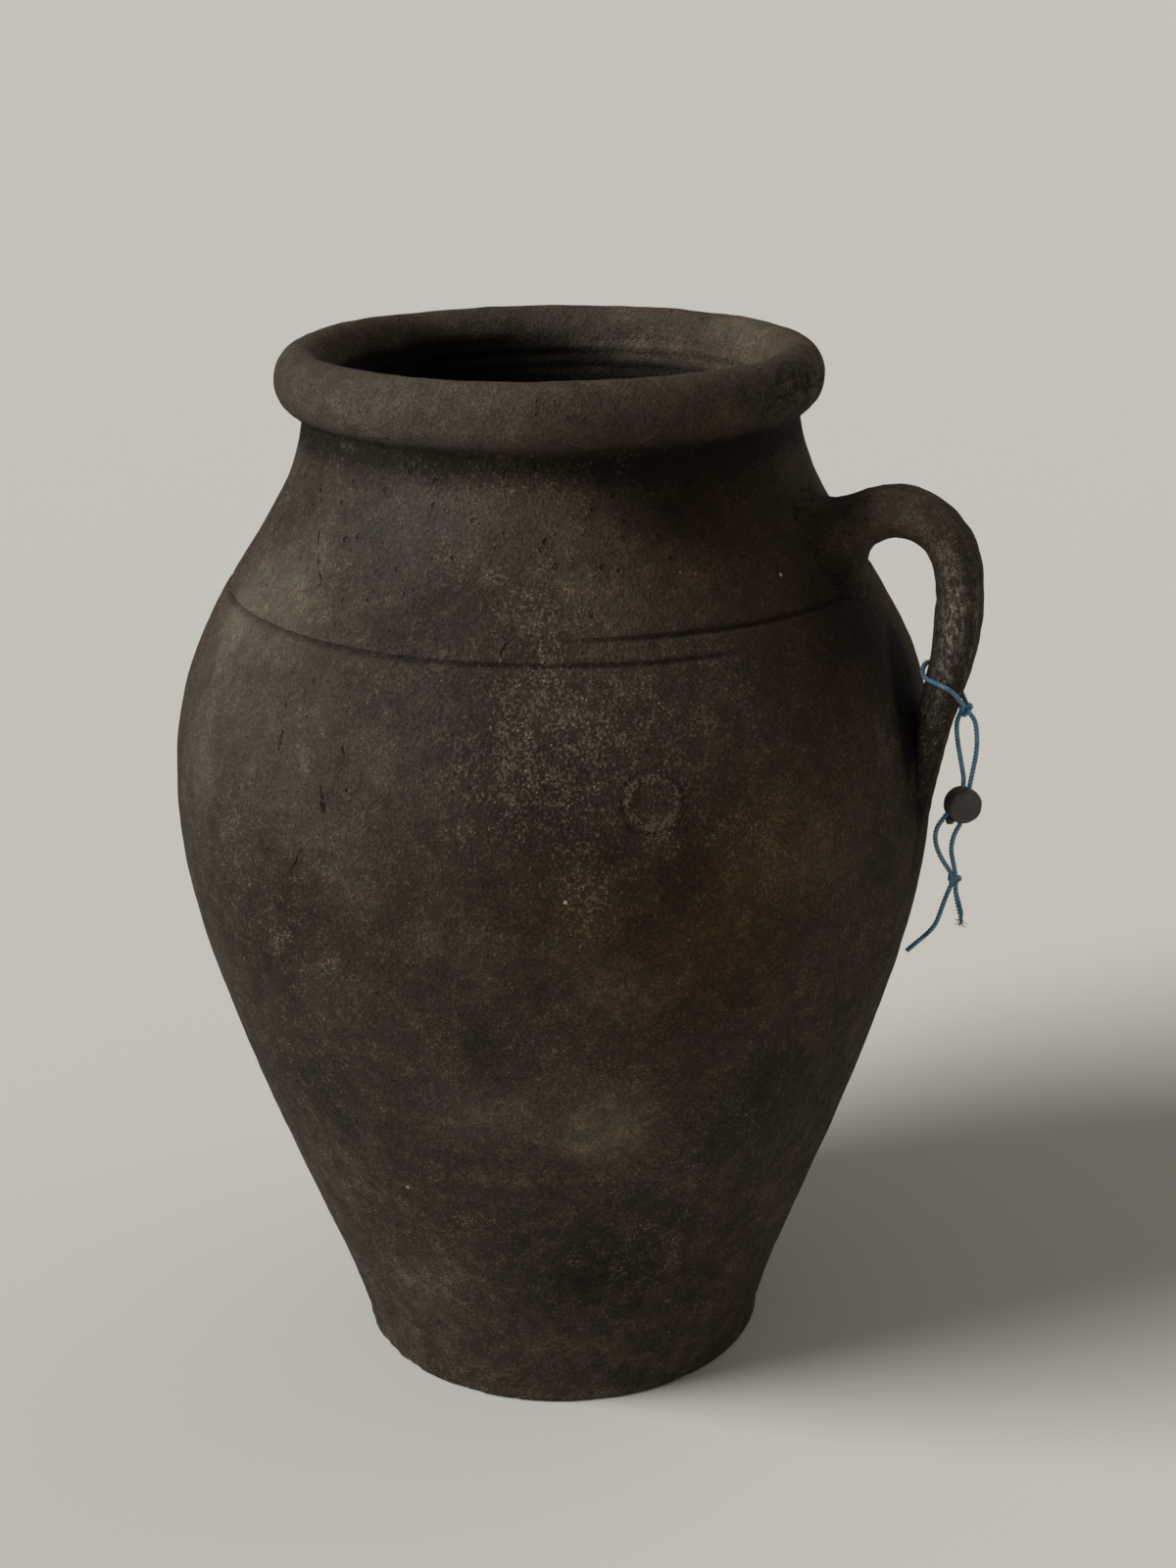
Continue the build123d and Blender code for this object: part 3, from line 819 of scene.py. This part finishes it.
def twisted_tube(line, radius, sides=PLY_SIDES, step=PLY_STEP, sizes=EVEN_SIZE, lobes=EVEN_LOBES):
    """Closed tube of three twisted plies: its points, faces, middle line and ply ridges."""
    lengths = lengths_along(line)
    places = np.linspace(0, lengths[-1], max(8, int(lengths[-1] / step)))
    middle = np.stack([np.interp(places, lengths, line[:, k]) for k in range(3)], axis=1)
    run = unit_rows(np.gradient(middle, axis=0))
    side = np.cross(run[0], (0.3, 1.0, 0.2))
    rings, ridges = [], []
    swing = np.arange(sides) * 2 * pi / sides
    for k, place in enumerate(places):
        side = side - run[k] * np.dot(side, run[k])
        side = side / np.linalg.norm(side)
        up = np.cross(run[k], side)
        ridge = np.cos(3 * (swing - 2 * pi * place / PLY_PITCH))
        lobe = np.interp(lengths[-1] - place, *lobes)
        size = radius * (1 - lobe + lobe * ridge) * np.interp(lengths[-1] - place, *sizes)
        ring = np.outer(size * np.cos(swing), side) + np.outer(size * np.sin(swing), up)
        rings.append(middle[k] + ring)
        ridges.append(ridge)
    points = np.vstack(rings + [middle[:1] - run[:1] * 0.1, middle[-1:] + run[-1:] * 0.1])
    ridges = np.concatenate(ridges + [[0.0, 0.0]])
    return points, ring_faces(len(places), sides), middle, ridges


def join(parts):
    """Several lists of points and faces as one."""
    points, faces, shift = [], [], 0
    for some, these in parts:
        points.append(some)
        faces += [tuple(i + shift for i in face) for face in these]
        shift += len(some)
    return np.vstack(points), faces


def trefoil(centre, size, turn, flat):
    """Line of an overhand knot pulled tight, of an overall size."""
    t = np.linspace(0, 2 * pi, 90)
    across = np.sin(t) + 2 * np.sin(2 * t)
    along = np.cos(t) - 2 * np.cos(2 * t)
    line = np.stack([across, along, -np.sin(3 * t) * flat], axis=1)
    return line * size / 6.0 @ np.array(turn.to_matrix()).T + np.array(centre)


def cord_piece(name, points, faces, ridges, material, body, nodes, tan=0.0):
    """Piece of cord with the numbers that its material reads."""
    away = np.linalg.norm(points - np.array(KNOT + Vector(LONG_STAIN)), axis=1)
    marks = {"ply": ridges, "stain": bell(away, STAIN_REACH), "tan": tan + np.zeros(len(points))}
    return add_piece(name, points, faces, material, body, nodes, marks)


def fray(tip, along, material):
    """Loose fibres at the end of the short tail."""
    chance = np.random.default_rng(5)
    along = along / np.linalg.norm(along)
    t = np.linspace(0.0, 1.0, 8)[:, None]
    parts, tans = [], []
    for _ in range(FIBRES):
        lean = chance.normal(0.0, FIBRE_LEAN, 3)
        curl = chance.normal(0.0, FIBRE_CURL, 3)
        start = tip + chance.normal(0.0, FIBRE_SPREAD, 3) - along * chance.uniform(*FIBRE_ROOT)
        line = start + (along + lean) * t * chance.uniform(*FIBRE_REACH) + curl * t ** 2
        line[:, 2] = np.maximum(line[:, 2], tip[2] - FIBRE_DROP)
        thin = (0.0, lengths_along(line)[-1]), (FIBRE_TIP, 1.0)
        points, faces, _, _ = twisted_tube(line, FIBRE_RADIUS, FIBRE_SIDES, FIBRE_STEP, thin)
        parts.append((points, faces))
        tans.append(np.full(len(points), chance.uniform(*FIBRE_TAN)))
    points, faces = join(parts)
    plain = np.zeros(len(points))
    tans = np.concatenate(tans)
    return cord_piece("frayed_end", points, faces, plain, material, "pendant", (), tans)


def build_cord(material, bead):
    """The loop round the handle, the two knots and the two strands with their tails."""
    radius = CORD_DIAMETER / 2
    points, faces, _, ridges = twisted_tube(route_line("loop_route", LOOP_ROUTE), radius)
    cord_piece("handle_loop", points, faces, ridges, material, "jar", ("cord_loop",))
    made = {}
    for name, (offset, size, turn, flat, body, node) in KNOTS.items():
        line = trefoil(KNOT + offset, size, Euler(turn), flat)
        points, faces, _, ridges = twisted_tube(line, radius * KNOT_CORD_SHARE)
        made[name] = cord_piece(name, points, faces, ridges, material, body, (node,))
    strands = (
        ("long_strand", LONG_ROUTE, LONG_LENGTH, EVEN_SIZE, EVEN_LOBES),
        ("short_strand", SHORT_ROUTE, SHORT_LENGTH, TAIL_SIZE, TAIL_LOBES),
    )
    for name, route, length, sizes, lobes in strands:
        short = name == "short_strand"
        line = route_line(name + "_route", route)
        points, faces, path, ridges = twisted_tube(line, radius, sizes=sizes, lobes=lobes)
        tip = path[-1]
        tan = rise(np.linalg.norm(points - tip, axis=1), TAIL_TAN, -TAIL_TAN) if short else 0.0
        nodes = ("cord_" + name,)
        strand = cord_piece(name, points, faces, ridges, material, "pendant", nodes, tan)
        ends = [fray(tip, tip - path[-8], material)] if short else [made["tail_lump"], bead]


def build_bead(material):
    """Round clay bead on edge, with a pressed ring on its face and dents where the cord goes in."""
    centre = np.array(KNOT + BEAD_CENTRE)
    axis = np.array((sin(BEAD_TURN), -cos(BEAD_TURN), 0.0))
    across = np.array((cos(BEAD_TURN), sin(BEAD_TURN), 0.0))
    up = np.array((0.0, 0.0, 1.0))
    pressed = PRESSED_DEPTH * bell(np.array(BEAD_FACE) - PRESSED_RADIUS, PRESSED_WIDTH)
    rows = list(zip(BEAD_FACE, BEAD_HALF - pressed))
    rows += BEAD_EDGE
    rows += [(radius, -BEAD_HALF) for radius in reversed(BEAD_FACE)]
    swing = np.arange(BEAD_SIDES) * 2 * pi / BEAD_SIDES
    rings = []
    for radius, depth in rows:
        ring = np.outer(radius * np.cos(swing), across) + np.outer(radius * np.sin(swing), up)
        rings.append(centre + ring + depth * axis)
    points = np.vstack(rings + [[centre + axis * BEAD_HALF], [centre - axis * BEAD_HALF]])
    push = layered(points, "bead")
    for side, high in BEAD_HOLES:
        hole = centre + across * side + up * high
        push -= HOLE_DEPTH * bell(np.linalg.norm(points - hole, axis=1), HOLE_WIDTH)
    points = points + unit_rows(points - centre) * push[:, None]
    crumb = bmesh.new()
    bmesh.ops.create_icosphere(crumb, subdivisions=4, radius=1.0)
    ball = np.array([vertex.co for vertex in crumb.verts])
    ball_faces = [tuple(vertex.index for vertex in face.verts) for face in crumb.faces]
    crumb.free()
    place = centre + across * CRUMB_PLACE[0] + up * CRUMB_PLACE[1] + axis * CRUMB_PLACE[2]
    ball = place + ball * (CRUMB_RADIUS + layered(ball, "crumb"))[:, None]
    disc_faces = ring_faces(len(rows), BEAD_SIDES, flip=True)
    points, faces = join([(points, disc_faces), (ball, ball_faces)])
    nodes = ("clay_bead",)
    return add_piece("bead", points, faces, material, "pendant", nodes, {})


class Shader:
    """Nodes of a material or a world, built up call by call."""

    def __init__(self, block):
        block.use_nodes = True
        self.block = block
        self.tree = block.node_tree
        self.colour = None

    def add(self, kind, inputs=None, out=0, **settings):
        node = self.tree.nodes.new("ShaderNode" + kind)
        for key, value in settings.items():
            setattr(node, key, value)
        for key, value in (inputs or {}).items():
            self.feed(node.inputs[key], value)
        return node.outputs[out]

    def feed(self, socket, value):
        if isinstance(value, bpy.types.NodeSocket):
            self.tree.links.new(value, socket)
        else:
            socket.default_value = value

    def math(self, operation, first, second=0.0, third=0.0, clamp=False):
        inputs = {0: first, 1: second, 2: third}
        return self.add("Math", inputs, operation=operation, use_clamp=clamp)

    def times(self, first, second, clamp=False):
        return self.math("MULTIPLY", first, second, clamp=clamp)

    def off(self, value, middle=0.0):
        """Distance of a value from a middle, either way."""
        return self.math("ABSOLUTE", self.math("SUBTRACT", value, middle))

    def attribute(self, name):
        return self.add("Attribute", out=2, attribute_name=name)

    def vector(self, operation, first, second=(0.0, 0.0, 0.0), scale=1.0):
        out = 1 if operation in ("DOT_PRODUCT", "DISTANCE") else 0
        inputs = {0: first, 1: second, 3: scale}
        return self.add("VectorMath", inputs, out=out, operation=operation)

    def texture(self, kind, where, size, out=0, **settings):
        inputs = {"Vector": where, "Scale": 1 / (size * MM), **settings}
        return self.add("Tex" + kind, inputs, out)

    def noise(self, where, size, detail, roughness):
        """Noise centred on 0, with lumps of about a size."""
        value = self.texture("Noise", where, size, Detail=detail, Roughness=roughness)
        return self.math("SUBTRACT", value, 0.5)

    def warp(self, where, size, reach):
        """Places shifted about by noise, by up to a reach."""
        shift = self.texture("Noise", where, size, 1, Detail=3.0)
        shift = self.vector("SUBTRACT", shift, (0.5, 0.5, 0.5))
        return self.vector("ADD", where, self.vector("SCALE", shift, scale=2 * reach * MM))

    def off_line(self, where, start, end):
        """Distance from a line between two points of the wall."""
        first = wall_point(*start) * MM
        run = wall_point(*end) * MM - first
        offset = self.vector("SUBTRACT", where, first)
        share = self.vector("DOT_PRODUCT", offset, run)
        share = self.times(share, 1 / run.length_squared, clamp=True)
        along = self.vector("SCALE", run, scale=share)
        return self.times(self.vector("DISTANCE", offset, along), 1 / MM)

    def spiral(self, where):
        """Share of the incised line at each place of the wall, with a short fade at its ends."""
        apart = self.add("SeparateXYZ", {0: where})
        around = self.math("ARCTAN2", apart.node.outputs[1], apart)
        turn = self.math("MULTIPLY_ADD", around, -180 / pi, GROOVE_START_ANGLE)
        turn = self.math("WRAP", turn, 360.0, 0.0)
        height = self.times(apart.node.outputs[2], 1 / MM)
        slope = GROOVE_RISE / GROOVE_SWEEP
        line = self.math("MULTIPLY_ADD", turn, slope, GROOVE_START)
        above = self.math("SUBTRACT", height, line)
        first = self.ease(self.off(above), *GROOVE_LINE)
        first = self.times(first, self.ease(turn, 0.0, GROOVE_TAPER))
        second = self.ease(self.off(above, 360.0 * slope), *GROOVE_LINE)
        overlap = GROOVE_SWEEP - 360.0
        second = self.times(second, self.ease(turn, overlap, overlap - GROOVE_TAPER))
        return self.math("MAXIMUM", first, second)

    def cells(self, where, size):
        """Distance to the nearest of scattered points, and a chance for each of them."""
        away = self.texture("Voronoi", where, size)
        chance = self.add("SeparateColor", {0: away.node.outputs[1]})
        return self.times(away, size), chance

    def ease(self, value, low, high):
        """Smooth step from 0 at low to 1 at high."""
        inputs = {"Value": value, "From Min": low, "From Max": high}
        return self.add("MapRange", inputs, interpolation_type="SMOOTHSTEP")

    def cover(self, share, colour, most=1.0, blend="MIX"):
        """Puts a colour over the one so far, by a share times the most that it may show."""
        inputs = {0: self.times(share, most), 6: self.colour, 7: (*colour, 1.0)}
        self.colour = self.add("Mix", inputs, out=2, data_type="RGBA", blend_type=blend)

    def tint(self, share, colour, most=1.0):
        self.cover(share, colour, most, "MULTIPLY")

    def ramp(self, value, stops):
        out = self.add("ValToRGB", {0: value})
        ramp = out.node.color_ramp
        while len(ramp.elements) < len(stops):
            ramp.elements.new(0.5)
        for element, (place, colour) in zip(ramp.elements, stops):
            element.position = place
            element.color = (*colour, 1.0)
        return out

    def total(self, *terms):
        """Sum of values, each times its weight."""
        found = 0.0
        for value, weight in terms:
            found = self.math("MULTIPLY_ADD", value, weight, found)
        return found

    def paint(self, values):
        """The material, with values for its surface's inputs."""
        for name, value in values.items():
            self.feed(self.tree.nodes["Principled BSDF"].inputs[name], value)
        return self.block

    def finish(self, height, roughness, specular):
        """The material, with a relief in metres."""
        bump = self.add("Bump", {"Strength": 1.0, "Distance": 1.0, "Height": height})
        values = {"Base Color": self.colour, "Roughness": roughness, "Normal": bump}
        return self.paint({**values, "Specular IOR Level": specular})


def clay_material():
    """Matt sandy earthenware: smoked mottling, pale grit, craters, cracks and rubbed clay, with
    painted shade in hollows, groove and creases and painted glints on the handle.
    """
    s = Shader(bpy.data.materials.new("fired_clay"))
    where = s.add("TexCoord", out=3)
    grit, rub_and_glint = s.attribute("grit"), s.attribute("rub_and_glint")

    # Smoked mottling, from rust to slate
    cloud = s.noise(where, 13.0, 5.0, 0.62)
    blotch = s.noise(where, 4.5, 4.0, 0.65)
    skin = s.noise(where, 0.95, 3.0, 0.70)
    tone = s.total((s.attribute("tone"), 0.26), (cloud, 0.40), (blotch, 0.38), (skin, 0.68))
    level = s.math("ADD", tone, 0.5)
    s.colour = s.ramp(level, CLAY_STOPS)
    hue = s.total((s.attribute("warm"), 0.75), (cloud, 0.9), (blotch, 0.5))
    s.tint(s.math("MAXIMUM", hue, 0.0, clamp=True), RUSTY_TINT)
    s.tint(s.times(hue, -1.0, clamp=True), SLATE_TINT)

    # Flaked skin, most of it low on the wall
    scabs = s.noise(s.warp(where, 3.0, 0.8), 7.0, 4.0, 0.66)
    flakes = s.ease(s.total((scabs, 1.0), (s.attribute("flake"), 0.10)), 0.085, 0.115)
    s.tint(flakes, FLAKE_TINT)

    # Round scar and the broken dark line round it
    crooked = s.warp(where, 2.6, 0.9)
    away = s.times(s.vector("DISTANCE", crooked, wall_point(*SCAR) * MM), 1 / MM)
    scar = s.ease(s.off(away, SCAR_RADIUS), 1.5, 0.5)
    edge = s.ease(s.off(away, SCAR_RADIUS + 2.1), 0.8, 0.2)
    edge = s.times(edge, s.ease(blotch, -0.12, 0.06))
    s.tint(edge, SCAR_TINT, 0.65)

    # Sandy flecks, and painted shade in the low spots of the relief
    sandy = s.total((skin, 1.0), (grit, 0.10), (blotch, 0.30), (cloud, 0.15), (scar, 0.12))
    flecks = s.ease(sandy, 0.10, 0.21)
    s.cover(flecks, SAND_COLOUR, 0.58)
    hollow_shade = s.total((blotch, 0.35), (skin, -1.0), (scar, 0.08))
    hollow_shade = s.ease(hollow_shade, 0.12, 0.24)
    s.tint(hollow_shade, HOLLOW_SHADE_TINT, 0.80)

    # Pale grains, fewer where the clay is dark, and a little quartz
    far, chance = s.cells(where, 1.15)
    density = s.total((grit, 0.30), (cloud, 0.8), (blotch, 0.7))
    chosen = s.math("LESS_THAN", chance, s.math("ADD", density, 0.07))
    size = s.math("MULTIPLY_ADD", chance, 0.5, 0.16)
    grains = s.times(s.ease(s.math("DIVIDE", far, size), 1.3, 0.7), chosen)
    grains = s.times(grains, s.ease(level, 0.16, 0.42))
    s.cover(grains, GRAIN_COLOUR, 0.80)
    far, chance = s.cells(where, 19.0)
    quartz = s.times(s.ease(far, 0.70, 0.40), s.math("LESS_THAN", chance, 0.28))
    s.cover(quartz, QUARTZ_COLOUR)

    # Craters with raised lips
    far, chance = s.cells(where, 3.9)
    density = s.math("MULTIPLY_ADD", s.attribute("pitting"), 0.42, 0.12)
    chosen = s.math("LESS_THAN", chance, density)
    share = s.math("DIVIDE", far, s.math("MULTIPLY_ADD", chance, 1.5, 0.26))
    pits = s.times(s.ease(share, 1.0, 0.60), chosen)
    lips = s.times(s.ease(s.off(share, 1.2), 0.45, 0.0), chosen)
    s.tint(pits, PIT_TINT, 0.45)

    # Incised spiral with painted shade in it, on the outside of the wall only
    incised = s.spiral(s.warp(where, 4.0, 0.35))
    incised = s.times(incised, s.ease(blotch, -0.26, -0.06))
    incised = s.times(incised, s.attribute("line"))
    s.tint(incised, GROOVE_SHADE_TINT, 0.6)

    # Hairline cracks, torn clay and the pale scratch
    wandering = s.warp(where, 9.0, 3.4)
    cracks = s.off_line(wandering, *CRACKS[0])
    for start, end in CRACKS[1:]:
        cracks = s.math("MINIMUM", cracks, s.off_line(wandering, start, end))
    cracks = s.times(s.ease(cracks, 0.52, 0.16), s.ease(blotch, -0.14, -0.02))
    ripped = s.warp(s.vector("MULTIPLY", where, (0.7, 0.4, 1.1)), 2.4, 0.7)
    ripped = s.off(s.noise(ripped, 4.0, 2.0, 0.5))
    tears = s.times(s.ease(ripped, 0.060, 0.020), s.attribute("tear"))
    cracks = s.math("MAXIMUM", cracks, tears)
    s.tint(cracks, CRACK_TINT, 0.85)
    scratch = s.ease(s.off_line(wandering, *SCRATCH), 0.50, 0.10)
    s.cover(scratch, SCRATCH_COLOUR, 0.45)

    # Soot with painted shade, and streaks of rubbed clay with painted glints along the handle
    s.cover(s.attribute("soot_and_shade"), SOOT_AND_SHADE_COLOUR, 0.95)
    streak = s.noise(s.vector("MULTIPLY", where, (1.0, 1.0, 0.40)), 1.2, 5.0, 0.70)
    streak = s.total((streak, 1.0), (blotch, 0.35), (skin, 0.25))
    glinting_rub = s.times(rub_and_glint, s.ease(streak, -0.05, 0.17))
    s.cover(glinting_rub, RUB_AND_GLINT_COLOUR, 0.88)

    height = s.total(
        (blotch, 0.80 * MM), (skin, 0.95 * MM), (pits, -0.60 * MM), (lips, 0.20 * MM),
        (grains, 0.16 * MM), (quartz, 0.25 * MM), (cracks, -0.60 * MM), (glinting_rub, 0.14 * MM),
        (flakes, 0.12 * MM), (scar, 0.40 * MM), (edge, -0.40 * MM), (incised, -0.35 * MM),
    )
    roughness = s.math("ADD", s.total((glinting_rub, -0.30), (rub_and_glint, -0.28)), 0.90)
    return s.finish(height, roughness, 0.06)


def cord_material():
    """Waxed cotton of a dull blue, paler where it is scuffed, with painted shade between its plies.
    """
    s = Shader(bpy.data.materials.new("waxed_cord"))
    where = s.add("TexCoord", out=3)
    scuff = s.noise(where, 2.2, 4.0, 0.65)
    fibre = s.noise(where, 0.35, 3.0, 0.7)
    # Paler on the ply ridges and darker between them: painted shade between the plies
    level = s.total((s.attribute("ply"), 0.20), (scuff, 0.9), (fibre, 0.5))
    s.colour = s.ramp(s.math("ADD", level, 0.46), CORD_STOPS)
    grime = s.ease(s.noise(where, 3.4, 3.0, 0.6), 0.06, 0.20)
    s.cover(grime, GRIME_COLOUR, 0.40)
    s.cover(s.attribute("tan"), TAN_COLOUR)
    s.cover(s.attribute("stain"), STAIN_COLOUR, 0.9)
    height = s.total((fibre, 0.12 * MM), (scuff, 0.05 * MM))
    return s.finish(height, 0.5, 0.4)


def bead_material():
    """Charcoal clay with a fine grain."""
    s = Shader(bpy.data.materials.new("bead_clay"))
    where = s.add("TexCoord", out=3)
    cloud = s.noise(where, 3.0, 5.0, 0.65)
    grain = s.noise(where, 0.6, 3.0, 0.7)
    level = s.math("ADD", s.total((cloud, 0.8), (grain, 0.5)), 0.5)
    height = s.total((cloud, 0.25 * MM), (grain, 0.15 * MM))
    s.colour = s.ramp(level, BEAD_STOPS)
    return s.finish(height, 0.75, 0.35)


bpy.context.scene.view_settings.view_transform = "Standard"
add_camera()
clay = clay_material()
build_wall(clay)
build_handle(clay)
build_cord(cord_material(), build_bead(bead_material()))
add_floor()
for lamp_name, lamp_values in LAMPS.items():
    add_sun(lamp_name, *lamp_values)
add_world()
